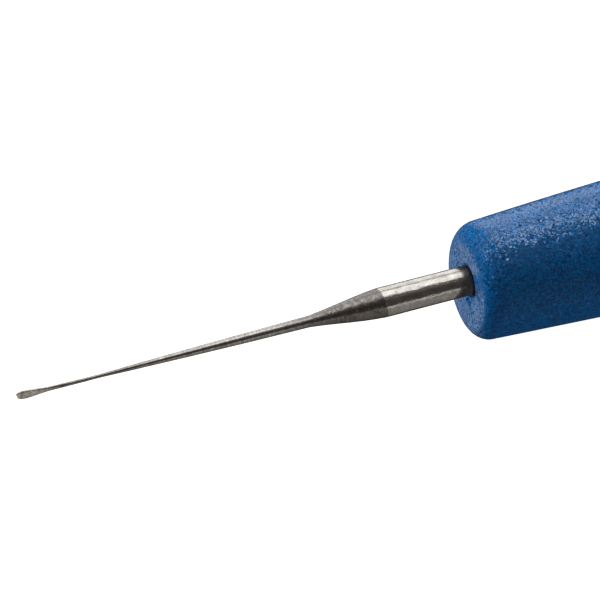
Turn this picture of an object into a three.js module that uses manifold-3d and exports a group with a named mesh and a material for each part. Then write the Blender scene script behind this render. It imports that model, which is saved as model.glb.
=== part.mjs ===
// Spudger for electronics work: a stainless steel rod, ground down to a needle with a small flat blade,
// pressed into a rigid plastic core that carries a soft foam grip and is closed by a plug at the rear.
//
// Millimetres, +Z up. The tool lies on a bench along X, with its blade towards -X. Lengths along it are
// measured from the grip's front face, and the finished group is shifted so that the origin lies on
// the bench, under the middle of the tool's length.

import * as THREE from 'three';
import { mergeVertices } from 'three/addons/utils/BufferGeometryUtils.js';
import Module from 'manifold-3d';

const wasm = await Module();
wasm.setup();

// Round pieces
const SIDES = 32; // flats around every turned piece, with one flat facing straight down
const CURVE_STEPS = 7; // straight steps in each curved stretch of an outline
const FIT_GAP = 0.15; // radial gap between pieces that are pressed together
const END_GAP = 0.3; // gap between faces that meet end to end
const CUT_MARGIN = 1; // how far a cutting shape runs past the piece it cuts

// Steel rod
const ROD_RADIUS = 1.5875; // 1/8 inch bar
const SHANK_LENGTH = 9.7; // full-size rod in front of the grip
const CONE_LENGTH = 8.3;
const CONE_REAR_SLOPE = 0.05; // slopes are growth in radius per millimetre
const CONE_FRONT_SLOPE = 0.094;
const NEEDLE_LENGTH = 22.5;
const NEEDLE_ROOT_RADIUS = 0.6;
const NEEDLE_ROOT_SLOPE = 0.0085;
const NEEDLE_END_RADIUS = 0.17;
const NEEDLE_END_SLOPE = 0.0267;
const BLADE_LENGTH = 8.6; // from the end of the round needle to the tip
const BLADE_NECK_LENGTH = 4.9; // the slim part of the blade, before it widens
const BLADE_NECK_RADIUS = 0.18; // half of the blade's width at the neck
const BLADE_RADIUS = 0.38; // half of its width where it is widest
const BLADE_END_RADIUS = 0.19; // half of the straight end
const BLADE_CORNER_LENGTH = 0.75; // rounding between the straight end and the widest place
const BLADE_THICKNESS = 0.24;
const BLADE_TURN = THREE.MathUtils.degToRad(48); // how far its flat side is turned from facing up
const TANG_LENGTH = 45; // rod inside the handle
const TANG_GROOVES = 4;
const TANG_GROOVE_START = 21;
const TANG_GROOVE_DEPTH = 0.25;
const TANG_GROOVE_WIDTH = 1.2;
const TANG_GROOVE_PITCH = 6;
const TANG_CHAMFER = 0.5;

// Foam grip
const GRIP_LENGTH = 112;
const GRIP_FRONT_RADIUS = 6.2; // where the sides would meet the front face with no rounding
const GRIP_FRONT_ROUNDING = 1.9;
const GRIP_FRONT_SLOPE = 0.061;
const GRIP_BELLY_RADIUS = 8; // to the middle of a flat
const GRIP_BELLY_START = 52;
const GRIP_BELLY_END = 88;
const GRIP_TAIL_RADIUS = 7;
const GRIP_TAIL_SLOPE = -0.09;
const GRIP_TAIL_ROUNDING = 2.5;
const GRIP_WALL = 3; // foam in front of the core
const ROD_HOLE_RADIUS = 1.75;
const ROD_OFFSET = 0.5; // how far the rod and core sit above the middle of the grip

// Plastic core
const CORE_RADIUS = 3.5;
const CORE_REAR_SETBACK = 1; // from the grip's rear face
const BARB_COUNT = 5;
const BARB_START = 14;
const BARB_PITCH = 18;
const BARB_LENGTH = 3;
const BARB_HEIGHT = 0.5;

// Rear plug
const PLUG_HEAD_RADIUS = 4.2;
const PLUG_HEAD_LENGTH = 2;
const PLUG_HEAD_ROUNDING = 0.9;
const PLUG_STEM_RADIUS = 2;
const PLUG_STEM_LENGTH = 15;
const PLUG_STEM_LEAD = 1; // slightly narrower start of the stem

const CONE_END = -SHANK_LENGTH - CONE_LENGTH;
const BLADE_ROOT = CONE_END - NEEDLE_LENGTH;
const TIP = BLADE_ROOT - BLADE_LENGTH;
const CORE_FRONT = GRIP_WALL + END_GAP;
const CORE_REAR = GRIP_LENGTH - CORE_REAR_SETBACK;
const PLUG_SEAT = GRIP_LENGTH + END_GAP;
const PLUG_END = PLUG_SEAT + PLUG_HEAD_LENGTH;

const STEEL = new THREE.MeshStandardMaterial({ color: 0xb9b4ae, roughness: 0.25, metalness: 1 });
const FOAM = new THREE.MeshStandardMaterial({ color: 0x1e5096, roughness: 0.85, metalness: 0 });
const NYLON = new THREE.MeshStandardMaterial({ color: 0xd9d6cc, roughness: 0.5, metalness: 0 });
const PLUG_PLASTIC = new THREE.MeshStandardMaterial({ color: 0x17191c, roughness: 0.45, metalness: 0 });

// Turns an outline about X. The outline's x is the radius and its y is the length along the tool.
function turned(outline) {
  const halfSide = Math.PI / SIDES;
  const points = outline.getPoints(CURVE_STEPS);
  for (const point of points) {
    point.x /= Math.cos(halfSide);
  }
  const geometry = new THREE.LatheGeometry(points, SIDES, halfSide);
  geometry.rotateZ(-Math.PI / 2);
  return geometry;
}

// Continues an outline to a new radius and length, with a given slope at each end of the curve.
function smoothTo(outline, radius, length, slopeFrom, slopeTo) {
  const from = outline.currentPoint;
  const third = (length - from.y) / 3;
  outline.bezierCurveTo(
    from.x + slopeFrom * third, from.y + third,
    radius - slopeTo * third, length - third,
    radius, length,
  );
}

function piece(name, geometry, material, height = 0) {
  const mesh = new THREE.Mesh(geometry, material);
  mesh.name = name;
  mesh.position.z = height;
  return mesh;
}

// Closed geometry to a solid that can be cut, and back.
function toSolid(geometry) {
  const bare = geometry.clone();
  bare.deleteAttribute('normal');
  bare.deleteAttribute('uv');
  const merged = mergeVertices(bare, 1e-4);
  return new wasm.Manifold(new wasm.Mesh({
    numProp: 3,
    vertProperties: new Float32Array(merged.attributes.position.array),
    triVerts: new Uint32Array(merged.index.array),
  }));
}

function toGeometry(solid) {
  const mesh = solid.getMesh();
  const geometry = new THREE.BufferGeometry();
  geometry.setAttribute('position', new THREE.BufferAttribute(mesh.vertProperties, 3));
  geometry.setIndex(new THREE.BufferAttribute(mesh.triVerts, 1));
  return geometry;
}

// Blade, needle, cone, shank and grooved tang, all one bar. The blade's width is turned like the rest
// and its thickness is pressed flat afterwards.
function rod() {
  const outline = new THREE.Path();
  outline.moveTo(0, TIP);
  outline.lineTo(BLADE_END_RADIUS, TIP);
  outline.quadraticCurveTo(BLADE_RADIUS, TIP, BLADE_RADIUS, TIP + BLADE_CORNER_LENGTH);
  smoothTo(outline, BLADE_NECK_RADIUS, BLADE_ROOT - BLADE_NECK_LENGTH, 0, 0);
  outline.lineTo(NEEDLE_END_RADIUS, BLADE_ROOT);
  smoothTo(outline, NEEDLE_ROOT_RADIUS, CONE_END, NEEDLE_END_SLOPE, NEEDLE_ROOT_SLOPE);
  smoothTo(outline, ROD_RADIUS, -SHANK_LENGTH, CONE_FRONT_SLOPE, CONE_REAR_SLOPE);
  for (let i = 0; i < TANG_GROOVES; i += 1) {
    const start = TANG_GROOVE_START + i * TANG_GROOVE_PITCH;
    const ramp = TANG_GROOVE_WIDTH / 3;
    outline.lineTo(ROD_RADIUS, start);
    outline.lineTo(ROD_RADIUS - TANG_GROOVE_DEPTH, start + ramp);
    outline.lineTo(ROD_RADIUS - TANG_GROOVE_DEPTH, start + TANG_GROOVE_WIDTH - ramp);
    outline.lineTo(ROD_RADIUS, start + TANG_GROOVE_WIDTH);
  }
  outline.lineTo(ROD_RADIUS, TANG_LENGTH - TANG_CHAMFER);
  outline.lineTo(ROD_RADIUS - TANG_CHAMFER, TANG_LENGTH);
  outline.lineTo(0, TANG_LENGTH);
  const geometry = turned(outline);
  pressBladeFlat(geometry);
  return piece('blade_rod', geometry, STEEL, ROD_OFFSET);
}

// Thins the rod beyond the needle's end to an oval of the blade's thickness.
function pressBladeFlat(geometry) {
  const flatSide = new THREE.Vector3(0, -Math.sin(BLADE_TURN), Math.cos(BLADE_TURN));
  const position = geometry.attributes.position;
  const vertex = new THREE.Vector3();
  for (let i = 0; i < position.count; i += 1) {
    vertex.fromBufferAttribute(position, i);
    const radius = Math.hypot(vertex.y, vertex.z);
    if (vertex.x < BLADE_ROOT && radius > 0) {
      const along = (BLADE_ROOT - vertex.x) / BLADE_LENGTH;
      const halfThickness = THREE.MathUtils.lerp(NEEDLE_END_RADIUS, BLADE_THICKNESS / 2, along);
      const squeeze = Math.min(1, halfThickness / radius);
      vertex.addScaledVector(flatSide, vertex.dot(flatSide) * (squeeze - 1));
      position.setXYZ(i, vertex.x, vertex.y, vertex.z);
    }
  }
}

// Rings that slope up from the front and step down at the rear, added to an outline at a given radius.
function addBarbs(outline, radius) {
  for (let i = 0; i < BARB_COUNT; i += 1) {
    const start = BARB_START + i * BARB_PITCH;
    outline.lineTo(radius, start);
    outline.lineTo(radius + BARB_HEIGHT, start + BARB_LENGTH);
    outline.lineTo(radius, start + BARB_LENGTH);
  }
}

// Foam sleeve with a closed front. Its outside is turned slightly off the centre of its bore.
function grip() {
  const sideRadius = GRIP_FRONT_RADIUS + GRIP_FRONT_SLOPE * GRIP_FRONT_ROUNDING;
  const tailStart = GRIP_LENGTH - GRIP_TAIL_ROUNDING;
  const outside = new THREE.Path();
  outside.moveTo(0, 0);
  outside.lineTo(GRIP_FRONT_RADIUS - GRIP_FRONT_ROUNDING, 0);
  outside.quadraticCurveTo(GRIP_FRONT_RADIUS, 0, sideRadius, GRIP_FRONT_ROUNDING);
  smoothTo(outside, GRIP_BELLY_RADIUS, GRIP_BELLY_START, GRIP_FRONT_SLOPE, 0);
  outside.lineTo(GRIP_BELLY_RADIUS, GRIP_BELLY_END);
  smoothTo(outside, GRIP_TAIL_RADIUS, tailStart, 0, GRIP_TAIL_SLOPE);
  outside.quadraticCurveTo(
    GRIP_TAIL_RADIUS, GRIP_LENGTH,
    GRIP_TAIL_RADIUS - GRIP_TAIL_ROUNDING, GRIP_LENGTH,
  );
  outside.lineTo(0, GRIP_LENGTH);

  const boreRadius = CORE_RADIUS + FIT_GAP;
  const bore = new THREE.Path();
  bore.moveTo(0, -CUT_MARGIN);
  bore.lineTo(ROD_HOLE_RADIUS, -CUT_MARGIN);
  bore.lineTo(ROD_HOLE_RADIUS, GRIP_WALL);
  bore.lineTo(boreRadius, GRIP_WALL);
  addBarbs(bore, boreRadius);
  bore.lineTo(boreRadius, GRIP_LENGTH + CUT_MARGIN);
  bore.lineTo(0, GRIP_LENGTH + CUT_MARGIN);

  const boreGeometry = turned(bore).translate(0, 0, ROD_OFFSET);
  const sleeve = toSolid(turned(outside)).subtract(toSolid(boreGeometry));
  return piece('foam_grip', toGeometry(sleeve), FOAM);
}

// Moulded stem inside the foam: a blind socket for the tang in front, one for the plug behind, and
// barbs outside that keep the foam from creeping off.
function core() {
  const socketRadius = ROD_RADIUS + FIT_GAP;
  const socketEnd = TANG_LENGTH + END_GAP;
  const plugSocketRadius = PLUG_STEM_RADIUS + FIT_GAP;
  const plugSocketEnd = PLUG_SEAT - PLUG_STEM_LENGTH - END_GAP;
  const outline = new THREE.Path();
  outline.moveTo(0, socketEnd);
  outline.lineTo(socketRadius, socketEnd);
  outline.lineTo(socketRadius, CORE_FRONT);
  outline.lineTo(CORE_RADIUS, CORE_FRONT);
  addBarbs(outline, CORE_RADIUS);
  outline.lineTo(CORE_RADIUS, CORE_REAR);
  outline.lineTo(plugSocketRadius, CORE_REAR);
  outline.lineTo(plugSocketRadius, plugSocketEnd);
  outline.lineTo(0, plugSocketEnd);
  return piece('handle_core', turned(outline), NYLON, ROD_OFFSET);
}

// Button with a stem pressed into the core, which closes the grip's rear end.
function plug() {
  const stemStart = PLUG_SEAT - PLUG_STEM_LENGTH;
  const outline = new THREE.Path();
  outline.moveTo(0, stemStart);
  outline.lineTo(PLUG_STEM_RADIUS - FIT_GAP, stemStart);
  outline.lineTo(PLUG_STEM_RADIUS, stemStart + PLUG_STEM_LEAD);
  outline.lineTo(PLUG_STEM_RADIUS, PLUG_SEAT);
  outline.lineTo(PLUG_HEAD_RADIUS, PLUG_SEAT);
  outline.lineTo(PLUG_HEAD_RADIUS, PLUG_END - PLUG_HEAD_ROUNDING);
  outline.quadraticCurveTo(PLUG_HEAD_RADIUS, PLUG_END, PLUG_HEAD_RADIUS - PLUG_HEAD_ROUNDING, PLUG_END);
  outline.lineTo(0, PLUG_END);
  return piece('tail_plug', turned(outline), PLUG_PLASTIC, ROD_OFFSET);
}

const spudger = new THREE.Group();
spudger.add(rod(), grip(), core(), plug());
spudger.position.set(-(TIP + PLUG_END) / 2, 0, GRIP_BELLY_RADIUS);

export default spudger;
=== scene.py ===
import math

import bmesh
import bpy
from mathutils import Matrix, Vector, noise
from mathutils.geometry import interpolate_bezier


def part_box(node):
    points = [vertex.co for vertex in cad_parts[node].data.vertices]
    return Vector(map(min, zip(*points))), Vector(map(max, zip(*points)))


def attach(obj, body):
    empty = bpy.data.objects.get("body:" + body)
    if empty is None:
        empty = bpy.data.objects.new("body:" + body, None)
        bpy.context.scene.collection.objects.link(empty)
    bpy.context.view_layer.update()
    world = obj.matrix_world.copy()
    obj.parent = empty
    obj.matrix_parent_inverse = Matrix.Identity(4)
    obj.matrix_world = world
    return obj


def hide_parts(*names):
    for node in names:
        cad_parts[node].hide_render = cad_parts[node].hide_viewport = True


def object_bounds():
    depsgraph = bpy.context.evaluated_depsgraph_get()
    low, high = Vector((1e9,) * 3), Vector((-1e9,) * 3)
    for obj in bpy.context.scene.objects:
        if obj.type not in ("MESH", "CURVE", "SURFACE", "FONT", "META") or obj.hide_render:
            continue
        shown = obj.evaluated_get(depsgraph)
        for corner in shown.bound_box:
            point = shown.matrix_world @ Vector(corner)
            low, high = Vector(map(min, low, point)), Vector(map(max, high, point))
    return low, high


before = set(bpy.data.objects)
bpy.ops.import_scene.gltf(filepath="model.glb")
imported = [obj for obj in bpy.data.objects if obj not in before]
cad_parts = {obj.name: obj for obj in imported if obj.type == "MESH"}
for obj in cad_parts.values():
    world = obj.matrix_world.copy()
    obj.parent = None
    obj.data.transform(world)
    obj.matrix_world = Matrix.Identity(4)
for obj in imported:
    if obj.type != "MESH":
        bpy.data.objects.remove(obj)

cad_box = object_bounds()


# ---------------------------------------------------------------------------------------------
# Camera. It stands in front of the blade and above the bench, on the left of the tool, with a
# long lens, so that the steel points at the lower left and the grip leaves at the right.
# ---------------------------------------------------------------------------------------------
mm = 0.001
grip_low, grip_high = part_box("foam_grip")
rod_low, rod_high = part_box("blade_rod")
grip_front = grip_low.x
rod_axis = (rod_low.z + rod_high.z) / 2
grip_axis = (grip_low.z + grip_high.z) / 2

camera_turn = math.radians(21.86)
camera_drop = math.radians(39.8)
camera_distance = 251.6 * mm
camera_lens = 144
camera_sensor = 36
aim_before_grip = 16.74 * mm
aim_behind_rod = 5.29 * mm
aim_below_rod = 1.56 * mm
camera_aim = Vector((grip_front - aim_before_grip, aim_behind_rod, rod_axis - aim_below_rod))
camera_look = Vector((
    math.sin(camera_turn) * math.cos(camera_drop),
    math.cos(camera_turn) * math.cos(camera_drop),
    -math.sin(camera_drop),
))

camera_data = bpy.data.cameras.new("camera")
camera_data.lens = camera_lens
camera_data.sensor_width = camera_sensor
camera_data.clip_start = 10 * mm
camera = bpy.data.objects.new("camera", camera_data)
camera.location = camera_aim - camera_look * camera_distance
camera.rotation_euler = camera_look.to_track_quat("-Z", "Y").to_euler()
bpy.context.scene.collection.objects.link(camera)
bpy.context.scene.camera = camera


# ---------------------------------------------------------------------------------------------
# Studio. A white light table that takes no shadow, in a dark room with plain soft boxes. Steel
# and foam need different ones, because the bar mirrors each box as a band along its length and
# the foam only as a sheen, so most of them are linked to one piece, further down.
# ---------------------------------------------------------------------------------------------
floor_size = 6.0

floor_mesh = bpy.data.meshes.new("floor")
floor_shape = bmesh.new()
bmesh.ops.create_grid(floor_shape, x_segments=1, y_segments=1, size=floor_size / 2)
bmesh.ops.translate(floor_shape, verts=floor_shape.verts, vec=(0, 0, cad_box[0].z))
floor_shape.to_mesh(floor_mesh)
floor_shape.free()
floor = bpy.data.objects.new("floor", floor_mesh)
bpy.context.scene.collection.objects.link(floor)
floor.visible_diffuse = False
floor.visible_glossy = False
floor.visible_transmission = False
floor.visible_shadow = False

floor_material = bpy.data.materials.new("light_table")
floor_material.use_nodes = True
floor_shader = floor_material.node_tree.nodes["Principled BSDF"]
floor_shader.inputs["Base Color"].default_value = (0.9, 0.9, 0.9, 1)
floor_shader.inputs["Roughness"].default_value = 0.8
floor_shader.inputs["Emission Color"].default_value = (1, 1, 1, 1)
floor_shader.inputs["Emission Strength"].default_value = 1.0
floor_mesh.materials.append(floor_material)

room_colour = (0.026, 0.024, 0.021, 1)
world = bpy.data.worlds.new("studio")
bpy.context.scene.world = world
world.use_nodes = True
world_tree = world.node_tree
room = world_tree.nodes["Background"]
room.inputs["Color"].default_value = room_colour
backdrop = world_tree.nodes.new("ShaderNodeBackground")
backdrop.inputs["Color"].default_value = (1, 1, 1, 1)
seen_directly = world_tree.nodes.new("ShaderNodeLightPath")
world_mix = world_tree.nodes.new("ShaderNodeMixShader")
world_tree.links.new(seen_directly.outputs["Is Camera Ray"], world_mix.inputs["Fac"])
world_tree.links.new(room.outputs["Background"], world_mix.inputs[1])
world_tree.links.new(backdrop.outputs["Background"], world_mix.inputs[2])
world_output = world_tree.nodes["World Output"]
world_tree.links.new(world_mix.outputs["Shader"], world_output.inputs["Surface"])


power_of_white = 4


def soft_light(name, away, spread, distance, middle, length, brightness, colour):
    """
    A rectangular light that faces the tool from a direction. Its length runs along the tool, or
    upright if it faces an end. Spread is the arc that it fills, in degrees, and middle is where it
    is centred along the tool, in metres. Brightness is how bright its face looks: power_of_white
    is the watts that a square metre of it needs to look white.
    """
    away = Vector(away).normalized()
    end_on = abs(away.x) > 0.5
    along = Vector((-away.z, 0, away.x)) if end_on else Vector((1, 0, 0))
    along = (along - away * along.dot(away)).normalized()
    width = 2 * distance * math.tan(math.radians(spread / 2))
    data = bpy.data.lights.new(name, "AREA")
    data.shape = "RECTANGLE"
    data.size = length
    data.size_y = width
    data.energy = brightness * width * length * power_of_white
    data.color = colour
    lamp = bpy.data.objects.new(name, data)
    turn = Matrix((along, away.cross(along), away)).transposed()
    place = Vector((middle, 0, rod_axis)) + away * distance
    lamp.matrix_world = Matrix.Translation(place) @ turn.to_4x4()
    lamp.visible_camera = False
    bpy.context.scene.collection.objects.link(lamp)
    return lamp


def over_the_tool(angle):
    """A direction square to the tool, its angle counted from the back over the top."""
    return (0, math.cos(math.radians(angle)), math.sin(math.radians(angle)))


warm_white = (1.0, 0.985, 0.965)
cool_white = (0.92, 0.97, 1.0)
bench_white = (1.0, 0.95, 0.90)

# Over and behind the tool: long ones for the steel, and short ones for the foam.
overhead_box = soft_light(
    "overhead_box", over_the_tool(77.5), spread=47, distance=0.60,
    middle=0.15, length=2.4, brightness=1.2, colour=warm_white)
grip_box = soft_light(
    "grip_box", over_the_tool(69), spread=28, distance=0.60,
    middle=0.18, length=0.24, brightness=2.6, colour=warm_white)
grip_box_left = soft_light(
    "grip_box_left", over_the_tool(69), spread=28, distance=0.60,
    middle=-0.50, length=0.30, brightness=2.0, colour=warm_white)
grip_card = soft_light(
    "grip_card", over_the_tool(18), spread=44, distance=0.60,
    middle=0.18, length=0.36, brightness=0.95, colour=warm_white)
grip_sky = soft_light(
    "grip_sky", over_the_tool(55), spread=70, distance=0.60,
    middle=0.05, length=1.0, brightness=0.85, colour=cool_white)
grip_sky.visible_glossy = False

# A faint veil in front for both, and for the steel a card behind, the dark room and the bench.
soft_light(
    "front_veil", over_the_tool(114), spread=26, distance=0.60,
    middle=0.20, length=1.3, brightness=0.10, colour=bench_white)
rear_card = soft_light(
    "rear_card", over_the_tool(21.5), spread=49, distance=0.60,
    middle=0.20, length=1.6, brightness=1.05, colour=warm_white)
room_front = soft_light(
    "room_front", over_the_tool(154), spread=54, distance=0.60,
    middle=0.15, length=1.3, brightness=0.03, colour=bench_white)
bench_edge = soft_light(
    "bench_edge", over_the_tool(187), spread=12, distance=0.40,
    middle=0.05, length=1.8, brightness=0.50, colour=bench_white)
bench_near = soft_light(
    "bench_near", over_the_tool(217), spread=48, distance=0.40,
    middle=0.05, length=1.8, brightness=0.22, colour=bench_white)
bench_far = soft_light(
    "bench_far", over_the_tool(256), spread=30, distance=0.40,
    middle=0.05, length=1.8, brightness=0.175, colour=bench_white)

# Light thrown up by the bench, and a box behind the tail.
bench_fill = soft_light(
    "bench_fill", over_the_tool(215), spread=90, distance=0.40,
    middle=0.05, length=1.0, brightness=0.50, colour=cool_white)
bench_fill.visible_glossy = False
soft_light(
    "tail_box", (1.0, 0.15, 0.10), spread=40, distance=0.50,
    middle=cad_box[1].x, length=0.36, brightness=1.5, colour=cool_white)

# The front of the grip: a soft box on the left and behind lights it, and it mirrors the white
# table at a flat angle, with a brighter patch that lies behind and below the tool.
left_box = soft_light(
    "left_box", (-0.70, 0.65, 0.30), spread=44, distance=0.50,
    middle=grip_front, length=0.42, brightness=3.8, colour=cool_white)
left_box.visible_glossy = False
soft_light(
    "left_table", (-0.18, 0.77, -0.61), spread=50, distance=0.50,
    middle=grip_front, length=0.40, brightness=0.14, colour=cool_white)
soft_light(
    "left_patch", (-0.286, 0.713, -0.64), spread=20, distance=0.50,
    middle=grip_front, length=0.18, brightness=0.44, colour=cool_white)

bpy.context.scene.view_settings.view_transform = "Standard"
bpy.context.scene.view_settings.look = "None"


# ---------------------------------------------------------------------------------------------
# Steel rod. One bar of 1/8 inch stainless: left bright where it comes out of the grip, ground
# down to a cone and a long needle in front, and pressed and ground flat into a tiny blade. The
# tang is pressed and glued in the handle's core, and has grooves for the glue.
# ---------------------------------------------------------------------------------------------
rod_radius = 1.61 * mm
shank_length = 9.7 * mm
cone_length = 8.3 * mm
needle_length = 22.5 * mm
needle_root_radius = 0.60 * mm
needle_end_radius = 0.185 * mm
blade_neck_length = 4.9 * mm
blade_neck_radius = 0.22 * mm
blade_radius = 0.43 * mm
blade_end_radius = 0.24 * mm
blade_corner_length = 0.75 * mm
blade_corner_slope = 0.75
blade_thickness = 0.24 * mm
blade_turn = math.radians(73)
blade_slant = 0.23
flat_begins = 0.30
flat_grows_over = 0.28
needle_end_slope = 0.0267
needle_root_slope = 0.0085
cone_front_slope = 0.094
cone_rear_slope = 0.05
view_turn = math.radians(48)
tip_rise = 0.10 * mm
tip_rise_length = 9 * mm
ground_step = 0.012 * mm
seam_forward = 0.13 * mm
seam_lean = 0.19 * mm
seam_fades_over = 2.4 * mm
tang_groove_depth = 0.25 * mm
tang_groove_width = 1.2 * mm
tang_groove_pitch = 6 * mm
tang_groove_start = 21 * mm
tang_grooves = 4
tang_chamfer = 0.5 * mm
rod_sides = 128
sharp_edge = math.radians(25)

tip = rod_low.x
tang_end = rod_high.x
seam = grip_front - shank_length
cone_end = seam - cone_length
blade_root = cone_end - needle_length
blade_neck = blade_root - blade_neck_length


def curve_on(outline, along, radius, slope_from, slope_to, steps):
    """Continues an outline of (length, radius) points with a smooth curve of given end slopes."""
    start = outline[-1]
    end = Vector((along, radius, 0))
    third = (along - start.x) / 3
    leave = start + Vector((third, slope_from * third, 0))
    arrive = end - Vector((third, slope_to * third, 0))
    outline.extend(interpolate_bezier(start, leave, arrive, end, steps + 1)[1:])


def line_on(outline, along, radius, steps=1):
    """Continues an outline with a straight stretch."""
    start = outline[-1]
    end = Vector((along, radius, 0))
    outline.extend(start.lerp(end, (i + 1) / steps) for i in range(steps))


def in_face_order(shape):
    """Lists the faces by their points, because a spin lists them in another order each run."""
    shape.verts.index_update()
    total = len(shape.verts)
    corners = {face: sorted(vert.index for vert in face.verts) for face in shape.faces}
    shape.faces.sort(key=lambda face: corners[face][0] * total + corners[face][-1])


def turned(outline, axis_height, sides, closed=False):
    """Spins an outline once round an axis along X, at a height above the bench."""
    shape = bmesh.new()
    axis = Vector((0, 0, axis_height))
    verts = [shape.verts.new(Vector((p.x, 0, axis_height + p.y))) for p in outline]
    for first, second in zip(verts, verts[1:] + verts[:1] if closed else verts[1:]):
        shape.edges.new((first, second))
    bmesh.ops.spin(
        shape, geom=shape.verts[:] + shape.edges[:], cent=axis, axis=(1, 0, 0), dvec=(0, 0, 0),
        angle=2 * math.pi, steps=sides, use_merge=True, use_duplicate=False,
    )
    in_face_order(shape)
    bmesh.ops.remove_doubles(shape, verts=shape.verts, dist=1e-7)
    bmesh.ops.recalc_face_normals(shape, faces=shape.faces)
    return shape


def finished(name, shape, materials):
    """Makes the object of a bmesh, smooth shaded, with its materials."""
    for edge in shape.edges:
        edge.smooth = edge.calc_face_angle(0) < sharp_edge
    mesh = bpy.data.meshes.new(name)
    shape.to_mesh(mesh)
    shape.free()
    for polygon in mesh.polygons:
        polygon.use_smooth = True
    for material in materials:
        mesh.materials.append(material)
    piece = bpy.data.objects.new(name, mesh)
    bpy.context.scene.collection.objects.link(piece)
    return piece


def smooth_step(value):
    """0 below 0, 1 above 1, and a smooth rise between."""
    value = min(1, max(0, value))
    return value * value * (3 - 2 * value)


rod_outline = [Vector((tip, 0, 0))]
line_on(rod_outline, tip, blade_end_radius, steps=3)
curve_on(rod_outline, tip + blade_corner_length, blade_radius, blade_corner_slope, 0, steps=10)
curve_on(rod_outline, blade_neck, blade_neck_radius, 0, 0, steps=24)
line_on(rod_outline, blade_root, needle_end_radius, steps=10)
curve_on(rod_outline, cone_end, needle_root_radius, needle_end_slope, needle_root_slope, steps=60)
curve_on(rod_outline, seam, rod_radius - ground_step, cone_front_slope, cone_rear_slope, steps=40)
line_on(rod_outline, seam + ground_step, rod_radius)
line_on(rod_outline, grip_front + tang_groove_start, rod_radius, steps=24)
ramp = tang_groove_width / 3
for groove in range(tang_grooves):
    groove_start = grip_front + tang_groove_start + groove * tang_groove_pitch
    line_on(rod_outline, groove_start, rod_radius)
    line_on(rod_outline, groove_start + ramp, rod_radius - tang_groove_depth)
    line_on(rod_outline, groove_start + 2 * ramp, rod_radius - tang_groove_depth)
    line_on(rod_outline, groove_start + tang_groove_width, rod_radius)
line_on(rod_outline, tang_end - tang_chamfer, rod_radius)
line_on(rod_outline, tang_end, rod_radius - tang_chamfer)
line_on(rod_outline, tang_end, 0)

rod_shape = turned(rod_outline, rod_axis, rod_sides)
for face in rod_shape.faces:
    face.material_index = 1 if face.calc_center_median().x < seam else 0

# The end of the ground cone isn't quite square to the bar. The blade has two flat sides, ground
# parallel, and a slightly slanted end, and the tip is bent up a little. rise_side and near_side
# are the up and the near side of the bar as the camera sees it.
flat_side = Vector((0, -math.sin(blade_turn), math.cos(blade_turn)))
edge_side = Vector((0, math.cos(blade_turn), math.sin(blade_turn)))
rise_side = Vector((0, math.cos(view_turn), math.sin(view_turn)))
near_side = Vector((0, -math.sin(view_turn), math.cos(view_turn)))
axis_point = Vector((0, 0, rod_axis))
for vert in rod_shape.verts:
    near_seam = max(0, 1 - abs(vert.co.x - seam) / seam_fades_over)
    upness = (vert.co - axis_point).dot(rise_side) / rod_radius
    vert.co.x -= (seam_forward + seam_lean * upness) * near_seam
    if vert.co.x < blade_root:
        ground = (blade_root - vert.co.x) / (blade_root - tip)
        half_thickness = needle_end_radius + (blade_thickness / 2 - needle_end_radius) * ground
        height = (vert.co - axis_point).dot(flat_side)
        pressed = half_thickness * math.tanh(height / half_thickness)
        flatness = smooth_step((ground - flat_begins) / flat_grows_over)
        vert.co += flat_side * (pressed - height) * flatness
        across = (vert.co - axis_point).dot(edge_side)
        near_end = max(0, 1 - (vert.co.x - tip) / (2 * blade_corner_length))
        vert.co.x += blade_slant * (blade_end_radius - across) * near_end
    bent = max(0, 1 - (vert.co.x - tip) / tip_rise_length)
    vert.co += rise_side * tip_rise * bent * bent


def new_material(name):
    """An empty node material: its tree, and its one Principled shader."""
    material = bpy.data.materials.new(name)
    material.use_nodes = True
    tree = material.node_tree
    return material, tree, tree.nodes["Principled BSDF"]


def node(tree, kind, values=None, **settings):
    """A node with its settings, and with values or links for its inputs."""
    made = tree.nodes.new(kind)
    for key, value in settings.items():
        setattr(made, key, value)
    for key, value in (values or {}).items():
        if isinstance(value, bpy.types.NodeSocket):
            tree.links.new(value, made.inputs[key])
        else:
            made.inputs[key].default_value = value
    return made


def ramp_of(tree, factor, stops):
    """A colour ramp with its stops as (position, colour) pairs."""
    made = node(tree, "ShaderNodeValToRGB", {"Fac": factor})
    points = made.color_ramp.elements
    while len(points) < len(stops):
        points.new(0.5)
    for point, (place, colour) in zip(points, stops):
        point.position = place
        point.color = (*colour, 1)
    return made.outputs["Color"]


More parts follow.
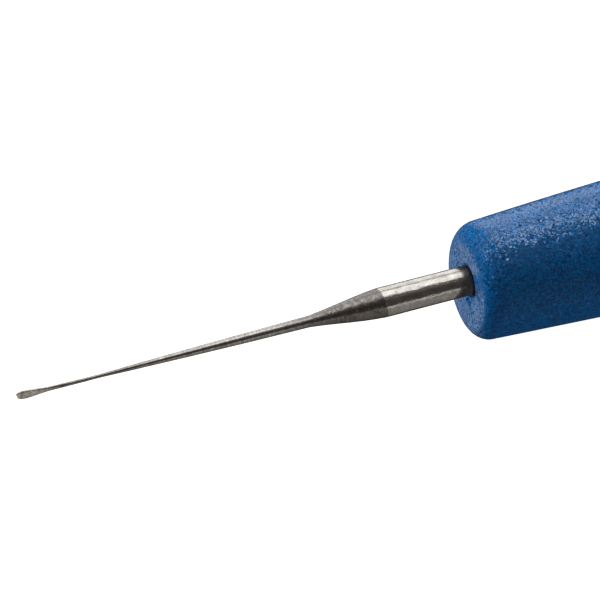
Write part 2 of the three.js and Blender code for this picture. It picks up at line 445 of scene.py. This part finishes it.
def tool_marks_group():
    """
    Marks on steel: fine marks, thin scratches and cloudy patches, each as a value from 0 to 1.
    Stretch and Scratch Stretch are cycles per metre along X, Y and Z.
    """
    tree = bpy.data.node_groups.new("tool_marks", "ShaderNodeTree")
    for name, kind in (("Stretch", "NodeSocketVector"), ("Scratch Stretch", "NodeSocketVector"),
                       ("Scratch Turn", "NodeSocketFloat"), ("Scratch Share", "NodeSocketFloat")):
        tree.interface.new_socket(name, in_out="INPUT", socket_type=kind)
    for name in ("Marks", "Scratches", "Cloud"):
        tree.interface.new_socket(name, in_out="OUTPUT", socket_type="NodeSocketFloat")
    given = tree.nodes.new("NodeGroupInput")
    result = tree.nodes.new("NodeGroupOutput")
    place = node(tree, "ShaderNodeTexCoord").outputs["Object"]
    along = node(tree, "ShaderNodeMapping", {"Vector": place, "Scale": given.outputs["Stretch"]})
    marks = node(tree, "ShaderNodeTexNoise", {
        "Vector": along.outputs["Vector"], "Scale": 1.0, "Detail": 3.0, "Roughness": 0.6})
    turn = node(tree, "ShaderNodeVectorRotate", {
        "Vector": place, "Angle": given.outputs["Scratch Turn"], "Axis": flat_side},
        rotation_type="AXIS_ANGLE")
    across = node(tree, "ShaderNodeMapping", {
        "Vector": turn.outputs["Vector"], "Scale": given.outputs["Scratch Stretch"]})
    lines = node(tree, "ShaderNodeTexNoise", {
        "Vector": across.outputs["Vector"], "Scale": 1.0, "Detail": 2.0, "Roughness": 0.6})
    edge = node(tree, "ShaderNodeMath", {
        0: 1.0, 1: given.outputs["Scratch Share"]}, operation="SUBTRACT")
    scratches = node(tree, "ShaderNodeMapRange", {
        "Value": lines.outputs["Fac"], "From Min": edge.outputs["Value"], "From Max": 0.80})
    cloud = node(tree, "ShaderNodeTexNoise", {
        "Vector": place, "Scale": 1400.0, "Detail": 3.0, "Roughness": 0.6})
    tree.links.new(marks.outputs["Fac"], result.inputs["Marks"])
    tree.links.new(scratches.outputs["Result"], result.inputs["Scratches"])
    tree.links.new(cloud.outputs["Fac"], result.inputs["Cloud"])
    return tree


tool_marks = tool_marks_group()
scratch_stretch = (300.0, 7000.0, 7000.0)
scratch_turn = 0.7
scratch_shade = 0.45
scratch_roughness = 0.15
scratch_height = -0.3
patch_shade = 0.74
tone_edge_wander = 0.5 * mm
tone_end = grip_front + 0.4 * mm


def steel(name, tones, roughness, stretch, mark_depth, mark_shade, scratch_share):
    """
    Stainless steel. The tones are (place along X, colour, extra roughness, share of the mark
    depth), from the tip backwards to tone_end. The marks darken the steel, roughen it and stand
    out.
    """
    material, tree, shader = new_material(name)
    marks = node(tree, "ShaderNodeGroup", {
        "Stretch": stretch, "Scratch Stretch": scratch_stretch, "Scratch Turn": scratch_turn,
        "Scratch Share": scratch_share}, node_tree=tool_marks)
    place = node(tree, "ShaderNodeTexCoord").outputs["Object"]
    uneven_place = node(tree, "ShaderNodeMath", {
        0: marks.outputs["Cloud"], 1: tone_edge_wander,
        2: node(tree, "ShaderNodeSeparateXYZ", {"Vector": place}).outputs["X"]},
        operation="MULTIPLY_ADD")
    along = node(tree, "ShaderNodeMapRange", {
        "Value": uneven_place.outputs["Value"], "From Min": tip, "From Max": tone_end})
    length = tone_end - tip
    tone = ramp_of(tree, along.outputs["Result"], [
        ((spot - tip) / length, colour) for spot, colour, extra, share in tones])
    extra_roughness = ramp_of(tree, along.outputs["Result"], [
        ((spot - tip) / length, (extra,) * 3) for spot, colour, extra, share in tones])
    depth_share = ramp_of(tree, along.outputs["Result"], [
        ((spot - tip) / length, (share,) * 3) for spot, colour, extra, share in tones])
    darker = node(tree, "ShaderNodeMapRange", {
        "Value": marks.outputs["Marks"], "From Min": 0.3, "From Max": 0.7,
        "To Min": mark_shade, "To Max": 1.0})
    patched = node(tree, "ShaderNodeMapRange", {
        "Value": marks.outputs["Cloud"], "From Min": 0.35, "From Max": 0.65,
        "To Min": patch_shade, "To Max": 1.0})
    both = node(tree, "ShaderNodeMath", {
        0: darker.outputs["Result"], 1: patched.outputs["Result"]}, operation="MULTIPLY")
    scratched = node(tree, "ShaderNodeMapRange", {
        "Value": marks.outputs["Scratches"], "To Min": 1.0, "To Max": scratch_shade})
    shade = node(tree, "ShaderNodeMath", {
        0: both.outputs["Value"], 1: scratched.outputs["Result"]}, operation="MULTIPLY")
    colour = node(tree, "ShaderNodeVectorMath", {
        0: tone, "Scale": shade.outputs["Value"]}, operation="SCALE")
    tree.links.new(colour.outputs["Vector"], shader.inputs["Base Color"])
    uneven = node(tree, "ShaderNodeMapRange", {
        "Value": marks.outputs["Marks"], "From Min": 0.3, "From Max": 0.7,
        "To Min": roughness[1], "To Max": roughness[0]})
    worn = node(tree, "ShaderNodeMath", {
        0: marks.outputs["Scratches"], 1: scratch_roughness, 2: uneven.outputs["Result"]},
        operation="MULTIPLY_ADD")
    rough = node(tree, "ShaderNodeMath", {
        0: worn.outputs["Value"], 1: extra_roughness}, operation="ADD")
    tree.links.new(rough.outputs["Value"], shader.inputs["Roughness"])
    relief = node(tree, "ShaderNodeMath", {
        0: marks.outputs["Scratches"], 1: scratch_height, 2: marks.outputs["Marks"]},
        operation="MULTIPLY_ADD")
    bump = node(tree, "ShaderNodeBump", {
        "Strength": depth_share, "Distance": mark_depth, "Height": relief.outputs["Value"]})
    tree.links.new(bump.outputs["Normal"], shader.inputs["Normal"])
    shader.inputs["Metallic"].default_value = 1.0
    return material


bright_tone = (0.74, 0.715, 0.685)
cone_tone = (0.37, 0.345, 0.33)
needle_tone = (0.72, 0.69, 0.66)
thin_needle_tone = (0.50, 0.465, 0.44)
blade_tone = (0.88, 0.80, 0.73)
# Where the bar goes into the grip its colour turns nearly black: painted shade of the hole and a
# painted dark reflection of the foam front.
painted_shade_tone = (0.06, 0.055, 0.050)
bright_steel = steel("bright_steel", (
    (seam, bright_tone, 0.0, 1.0),
    (grip_front, bright_tone, 0.0, 1.0),
    (tone_end, painted_shade_tone, 0.2, 1.0),
), roughness=(0.12, 0.22), stretch=(900.0, 2600.0, 2600.0), mark_depth=0.024 * mm,
    mark_shade=0.72, scratch_share=0.41)
ground_steel = steel("ground_steel", (
    (blade_neck - 1.2 * mm, blade_tone, 0.08, 0.5),
    (blade_neck + 0.8 * mm, thin_needle_tone, 0.0, 0.25),
    (blade_root + 3.0 * mm, thin_needle_tone, 0.0, 0.25),
    (blade_root + 8.0 * mm, needle_tone, 0.0, 0.3),
    (cone_end - 5.0 * mm, needle_tone, 0.0, 0.3),
    (cone_end + 2.0 * mm, cone_tone, 0.08, 1.0),
    (seam, cone_tone, 0.08, 1.0),
), roughness=(0.14, 0.28), stretch=(3800.0, 1300.0, 1300.0), mark_depth=0.075 * mm,
    mark_shade=0.45, scratch_share=0.38)

# The steel throws neither light nor shade on the foam: both would be a hard streak beside it.
rod = finished("steel_rod", rod_shape, [bright_steel, ground_steel])
rod.visible_diffuse = False
rod.visible_shadow = False
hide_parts("blade_rod")
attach(rod, "root")

# The lamps that only the steel mirrors. The foam is too dull to need them.
steel_only = bpy.data.collections.new("steel_only")
steel_only.objects.link(rod)
for lamp in (overhead_box, rear_card, room_front, bench_edge, bench_near, bench_far):
    lamp.light_linking.receiver_collection = steel_only


# ---------------------------------------------------------------------------------------------
# Foam grip. A sleeve of blue closed-cell foam, turned and sanded to a slim barrel, with a closed
# front that the rod comes through. The hole is a little large, and the foam is torn beside it.
# ---------------------------------------------------------------------------------------------
front_radius = 6.2 * mm
front_rounding = 1.9 * mm
front_slope = 0.061
belly_radius = 8.0 * mm
belly_start = 52 * mm
belly_end = 88 * mm
tail_radius = 7.0 * mm
tail_slope = -0.09
tail_rounding = 2.5 * mm
foam_wall = 3 * mm
rod_hole_radius = 1.66 * mm
rod_hole_lip = 0.15 * mm
rod_hole_flare = 0.12 * mm
rounding_pull = 0.42
tail_pull = 0.55
tail_fall = 0.1 * mm
bore_radius = 3.65 * mm
grip_sides = 224

grip_back = grip_high.x
front_side_radius = front_radius + front_slope * front_rounding

grip_outline = [Vector((grip_back, bore_radius, 0))]
line_on(grip_outline, grip_front + foam_wall, bore_radius, steps=12)
line_on(grip_outline, grip_front + foam_wall, rod_hole_radius, steps=3)
line_on(grip_outline, grip_front + rod_hole_lip, rod_hole_radius, steps=14)
line_on(grip_outline, grip_front, rod_hole_radius + rod_hole_flare, steps=2)
line_on(grip_outline, grip_front, front_radius - front_rounding, steps=26)
pulled_back = front_rounding * rounding_pull
corner = interpolate_bezier(
    grip_outline[-1],
    Vector((grip_front, front_radius - pulled_back, 0)),
    Vector((grip_front + pulled_back, front_radius + front_slope * pulled_back, 0)),
    Vector((grip_front + front_rounding, front_side_radius, 0)), 24)
grip_outline.extend(corner[1:])
curve_on(grip_outline, grip_front + belly_start, belly_radius, front_slope, 0, steps=220)
line_on(grip_outline, grip_front + belly_end, belly_radius, steps=60)
curve_on(grip_outline, grip_back - tail_rounding, tail_radius, 0, tail_slope, steps=44)
tail_corner = interpolate_bezier(
    grip_outline[-1],
    Vector((grip_back - tail_rounding * rounding_pull, tail_radius - tail_fall, 0)),
    Vector((grip_back, tail_radius - tail_rounding * tail_pull, 0)),
    Vector((grip_back, tail_radius - tail_rounding, 0)), 14)
grip_outline.extend(tail_corner[1:])

grip_shape = turned(grip_outline, grip_axis, grip_sides, closed=True)

# The sanded front is a little out of square, its edge is rounder on top, and the whole turning
# isn't quite true. The hole sits a little low and toward the front, the foam is drawn in round it,
# and the foam is torn in two places below it.
front_tilt = math.tan(math.radians(2.9))
tilt_fades_at = 9 * mm
front_reach = 0.10 * mm
rounding_change = 0.10
waviness = 0.05 * mm
waves_along = 90
waves_round = 1.3
waves_fade_over = 2 * mm
flat_radius = front_side_radius - front_rounding
hole_low = 0.22 * mm
hole_near = 0.12 * mm
hole_shift = Vector((0, 0, rod_axis - grip_axis)) - rise_side * hole_low + near_side * hole_near
hole_shift_fades_over = 1.8 * mm
dimple_depth = 0.43 * mm
dimple_width = 0.6 * mm
dimple_deeper_near = 0.5
dimple_shallower_on_top = 0.6
rim_ragged = 0.03 * mm
rags_round = 5
rags_along = 900
tear_width = 0.13 * mm
tear_depth = 0.3 * mm
tear_reach = 0.8 * mm
tear_fullness = 1.6
inside_begins = 0.35 * mm
inside_grows_over = 0.4 * mm
hooked_tear = ((-0.95, 2.00), (-0.75, 2.15), (-0.55, 2.45), (-0.25, 2.50))
thin_tear = ((1.95, 1.55), (2.30, 1.95), (2.65, 2.35), (3.05, 2.70))
thin_tear_strength = 0.9
just_under = 0.98
just_over = 1.02
middle_point = Vector((0, 0, grip_axis))
rod_point = Vector((0, 0, rod_axis))


def distance_to_chain(across, down, chain):
    """How far a point of the front face is from a chain of points in millimetres, in metres."""
    point = Vector((across, down))
    nearest = 1.0
    for first, second in zip(chain, chain[1:]):
        first = Vector(first) * mm
        second = Vector(second) * mm
        share = (point - first).dot(second - first) / (second - first).length_squared
        share = min(1, max(0, share))
        nearest = min(nearest, (point - first.lerp(second, share)).length)
    return nearest


tear_and_shade_layer = grip_shape.verts.layers.float.new("tear_and_shade")
for vert in grip_shape.verts:
    behind = vert.co.x - grip_front
    from_middle = vert.co - middle_point
    from_middle.x = 0
    radius = from_middle.length
    outward = from_middle.normalized()
    upness = outward.dot(rise_side)
    at_front = behind < foam_wall * just_over and radius < bore_radius * just_under
    if behind < front_rounding * just_under and radius > flat_radius / 2:
        rounder = 1 + rounding_change * upness
        if radius > flat_radius:
            radius = front_side_radius - (front_side_radius - radius) * rounder
        else:
            share = smooth_step(radius / flat_radius * 2 - 1)
            radius -= front_rounding * rounding_change * upness * share
        behind *= rounder
    if not at_front and radius > bore_radius:
        swell = noise.noise(Vector((
            vert.co.x * waves_along, outward.y * waves_round, outward.z * waves_round)))
        radius += waviness * swell * smooth_step((radius - bore_radius) / waves_fade_over)
    vert.co = middle_point + outward * radius
    if at_front:
        near_hole = 1 - smooth_step((radius - rod_hole_radius) / hole_shift_fades_over)
        drawn_in = 1 - smooth_step((radius - rod_hole_radius) / dimple_width)
        ragged = noise.noise(Vector((
            outward.y * rags_round, outward.z * rags_round, behind * rags_along)))
        vert.co += hole_shift * near_hole + outward * rim_ragged * ragged * drawn_in
        nearness = outward.dot(near_side)
        lean = 1 + dimple_deeper_near * nearness - dimple_shallower_on_top * abs(upness)
        behind += dimple_depth * lean * drawn_in * (1 - behind / foam_wall)
    from_rod = vert.co - rod_point
    across = from_rod.dot(near_side)
    down = -from_rod.dot(rise_side)
    tear_and_shade = 0
    if at_front and behind < tear_reach and down > 0:
        for chain, strength in ((hooked_tear, 1.0), (thin_tear, thin_tear_strength)):
            apart = distance_to_chain(across, down, chain) / tear_width
            tear_and_shade = max(tear_and_shade, min(1, tear_fullness * strength * math.exp(-apart * apart)))
    # On the tears the mark dents the foam and is also painted shade in the slits; inside the hole
    # it is painted shade only. The material paints both nearly black.
    in_hole = radius < rod_hole_radius * just_over
    inside = smooth_step((behind - inside_begins) / inside_grows_over) if in_hole else 0
    vert[tear_and_shade_layer] = max(tear_and_shade, inside)
    tilt = front_tilt * (vert.co - middle_point).dot(rise_side) - front_reach
    tilt *= 1 - smooth_step(behind / tilt_fades_at)
    vert.co.x = grip_front + behind + tear_depth * tear_and_shade + tilt
grip_shape.normal_update()

# Each cell is a little facet with a tilt of its own, one in five of them up to three times as
# steep, so that single cells glint. Fine pores lie over the facets.
foam_cell = 0.20 * mm
facet_tilt = 0.32
steep_from = 0.80
steepest = 3.0
pore_depth = 0.02 * mm
foam_material, foam_tree, foam_shader = new_material("blue_foam")
foam_place = node(foam_tree, "ShaderNodeTexCoord").outputs["Object"]
cells = node(foam_tree, "ShaderNodeTexVoronoi", {"Vector": foam_place, "Scale": 1 / foam_cell})
cell_tilt = node(foam_tree, "ShaderNodeVectorMath", {
    0: cells.outputs["Color"], 1: (0.5, 0.5, 0.5)}, operation="SUBTRACT")
in_cell = node(foam_tree, "ShaderNodeVectorMath", {
    0: foam_place, 1: cells.outputs["Position"]}, operation="SUBTRACT")
chance = node(foam_tree, "ShaderNodeTexWhiteNoise", {"Vector": cells.outputs["Position"]})
steeper = node(foam_tree, "ShaderNodeMapRange", {
    "Value": chance.outputs["Value"], "From Min": steep_from, "From Max": 1.0,
    "To Min": 1.0, "To Max": steepest})
odd_tilt = node(foam_tree, "ShaderNodeVectorMath", {
    0: cell_tilt.outputs["Vector"], "Scale": steeper.outputs["Result"]}, operation="SCALE")
facet = node(foam_tree, "ShaderNodeVectorMath", {
    0: in_cell.outputs["Vector"], 1: odd_tilt.outputs["Vector"]}, operation="DOT_PRODUCT")
facet_bump = node(foam_tree, "ShaderNodeBump", {
    "Strength": 1.0, "Distance": facet_tilt, "Height": facet.outputs["Value"]})
pores = node(foam_tree, "ShaderNodeTexNoise", {
    "Vector": foam_place, "Scale": 1 / foam_cell, "Detail": 2.0, "Roughness": 0.6})
pore_bump = node(foam_tree, "ShaderNodeBump", {
    "Strength": 1.0, "Distance": pore_depth, "Height": pores.outputs["Fac"],
    "Normal": facet_bump.outputs["Normal"]})
foam_tree.links.new(pore_bump.outputs["Normal"], foam_shader.inputs["Normal"])

# The blue varies from speck to speck and from cell to cell. The tears and the inside of the hole
# are dull and painted nearly black, painted shade in the slits and down the hole. Where the steel
# mirrors the foam, the foam is painted nearly black too: a painted dark reflection in the steel.
deep_blue = (0.001, 0.057, 0.188)
middle_blue = (0.001, 0.100, 0.310)
pale_blue = (0.002, 0.168, 0.490)
painted_tear_shade_colour = (0.001, 0.003, 0.006, 1)
painted_reflection_colour = (0.045, 0.044, 0.042, 1)
painted_reflection_share = 0.97
cell_share = 0.30
foam_gloss_tint = (0.50, 0.68, 1.0, 1)
specks = node(foam_tree, "ShaderNodeTexNoise", {
    "Vector": foam_place, "Scale": 1 / foam_cell, "Detail": 1.0, "Roughness": 0.6})
cell_tone = node(foam_tree, "ShaderNodeSeparateColor", {"Color": cells.outputs["Color"]})
mixed_tone = node(foam_tree, "ShaderNodeMath", {
    0: cell_tone.outputs["Red"], 1: cell_share, 2: specks.outputs["Fac"]},
    operation="MULTIPLY_ADD")
blues = ramp_of(foam_tree, mixed_tone.outputs["Value"], (
    (0.46, deep_blue), (0.65, middle_blue), (0.84, pale_blue)))
tear_and_shade_value = node(foam_tree, "ShaderNodeAttribute", attribute_name="tear_and_shade").outputs["Fac"]
blue_with_painted_shade = node(foam_tree, "ShaderNodeMix", {
    0: tear_and_shade_value, 6: blues, 7: painted_tear_shade_colour}, data_type="RGBA")
# Painted reflection: to the rays that the steel mirrors, the foam is painted nearly black.
seen_in_steel = node(foam_tree, "ShaderNodeLightPath")
dimmed = node(foam_tree, "ShaderNodeMath", {
    0: seen_in_steel.outputs["Is Glossy Ray"], 1: painted_reflection_share}, operation="MULTIPLY")
foam_colour = node(foam_tree, "ShaderNodeMix", {
    0: dimmed.outputs["Value"], 6: blue_with_painted_shade.outputs[2], 7: painted_reflection_colour}, data_type="RGBA")
foam_tree.links.new(foam_colour.outputs[2], foam_shader.inputs["Base Color"])
foam_rough = node(foam_tree, "ShaderNodeMapRange", {
    "Value": specks.outputs["Fac"], "From Min": 0.35, "From Max": 0.65,
    "To Min": 0.28, "To Max": 0.14})
tear_and_shade_rough = node(foam_tree, "ShaderNodeMath", {
    0: foam_rough.outputs["Result"], 1: tear_and_shade_value}, operation="MAXIMUM")
foam_tree.links.new(tear_and_shade_rough.outputs["Value"], foam_shader.inputs["Roughness"])
foam_shader.inputs["IOR"].default_value = 2.0
foam_shader.inputs["Specular Tint"].default_value = foam_gloss_tint

grip = finished("blue_foam_grip", grip_shape, [foam_material])
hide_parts("foam_grip")
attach(grip, "root")

# The lamps that only the grip gets: short ones overhead, so that its cells glint one by one.
grip_only = bpy.data.collections.new("grip_only")
grip_only.objects.link(grip)
for lamp in (grip_box, grip_box_left, grip_card, grip_sky):
    lamp.light_linking.receiver_collection = grip_only


# ---------------------------------------------------------------------------------------------
# Handle core. A stem of moulded nylon inside the foam, with a socket for the tang and barbs that
# hold the foam. It is out of sight once the tool is together.
# ---------------------------------------------------------------------------------------------
skin_depth = 0.012 * mm
grain_share = 0.4


def moulded_plastic(name, dark, light, smoothest, roughest):
    """Moulded plastic: a fine grained skin, flow marks in two tones, and an uneven gloss."""
    material, tree, shader = new_material(name)
    place = node(tree, "ShaderNodeTexCoord").outputs["Object"]
    grain = node(tree, "ShaderNodeTexNoise", {
        "Vector": place, "Scale": 4000.0, "Detail": 3.0, "Roughness": 0.6})
    flow = node(tree, "ShaderNodeTexNoise", {
        "Vector": place, "Scale": 350.0, "Detail": 3.0, "Roughness": 0.5, "Distortion": 0.6})
    both = node(tree, "ShaderNodeMath", {
        0: grain.outputs["Fac"], 1: grain_share, 2: flow.outputs["Fac"]},
        operation="MULTIPLY_ADD")
    tone = ramp_of(tree, both.outputs["Value"], ((0.5, dark), (0.9, light)))
    tree.links.new(tone, shader.inputs["Base Color"])
    gloss = node(tree, "ShaderNodeMapRange", {
        "Value": flow.outputs["Fac"], "From Min": 0.35, "From Max": 0.65,
        "To Min": smoothest, "To Max": roughest})
    tree.links.new(gloss.outputs["Result"], shader.inputs["Roughness"])
    bump = node(tree, "ShaderNodeBump", {
        "Strength": 1.0, "Distance": skin_depth, "Height": grain.outputs["Fac"]})
    tree.links.new(bump.outputs["Normal"], shader.inputs["Normal"])
    return material


core_material = moulded_plastic(
    "nylon", dark=(0.56, 0.53, 0.45), light=(0.72, 0.70, 0.63), smoothest=0.32, roughest=0.50)
core_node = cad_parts["handle_core"]
core_node.data.materials.clear()
core_node.data.materials.append(core_material)


# ---------------------------------------------------------------------------------------------
# Tail plug. A black moulded button pressed in to close the rear of the grip, with a shallow dish
# and the mould's gate mark in its middle.
# ---------------------------------------------------------------------------------------------
plug_low, plug_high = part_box("tail_plug")
plug_head_radius = 4.2 * mm
plug_head_length = 2.0 * mm
plug_head_rounding = 0.9 * mm
plug_stem_radius = 2.0 * mm
plug_stem_lead = 1.0 * mm
plug_stem_taper = 0.15 * mm
plug_side_pull = 0.45
plug_end_pull = 0.55
plug_sides = 96
plug_dish_radius = 2.7 * mm
plug_dish_depth = 0.25 * mm
plug_gate_radius = 0.6 * mm
plug_gate_shrink = 0.8

plug_seat = plug_high.x - plug_head_length
plug_outline = [Vector((plug_low.x, 0, 0))]
line_on(plug_outline, plug_low.x, plug_stem_radius - plug_stem_taper)
line_on(plug_outline, plug_low.x + plug_stem_lead, plug_stem_radius)
line_on(plug_outline, plug_seat, plug_stem_radius)
line_on(plug_outline, plug_seat, plug_head_radius)
line_on(plug_outline, plug_high.x - plug_head_rounding, plug_head_radius, steps=3)
plug_corner = interpolate_bezier(
    plug_outline[-1],
    Vector((plug_high.x - plug_head_rounding * plug_side_pull, plug_head_radius, 0)),
    Vector((plug_high.x, plug_head_radius - plug_head_rounding * plug_end_pull, 0)),
    Vector((plug_high.x, plug_head_radius - plug_head_rounding, 0)), 10)
plug_outline.extend(plug_corner[1:])
line_on(plug_outline, plug_high.x, plug_dish_radius, steps=4)
line_on(plug_outline, plug_high.x - plug_dish_depth, plug_dish_radius - plug_dish_depth, steps=2)
line_on(plug_outline, plug_high.x - plug_dish_depth, plug_gate_radius, steps=6)
line_on(plug_outline, plug_high.x - plug_dish_depth / 2, plug_gate_radius * plug_gate_shrink)
line_on(plug_outline, plug_high.x - plug_dish_depth / 2, 0, steps=2)
plug_shape = turned(plug_outline, rod_axis, plug_sides)

plug_material = moulded_plastic(
    "black_plastic", dark=(0.014, 0.015, 0.017), light=(0.034, 0.035, 0.038),
    smoothest=0.30, roughest=0.48)
plug = finished("black_tail_plug", plug_shape, [plug_material])
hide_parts("tail_plug")
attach(plug, "root")
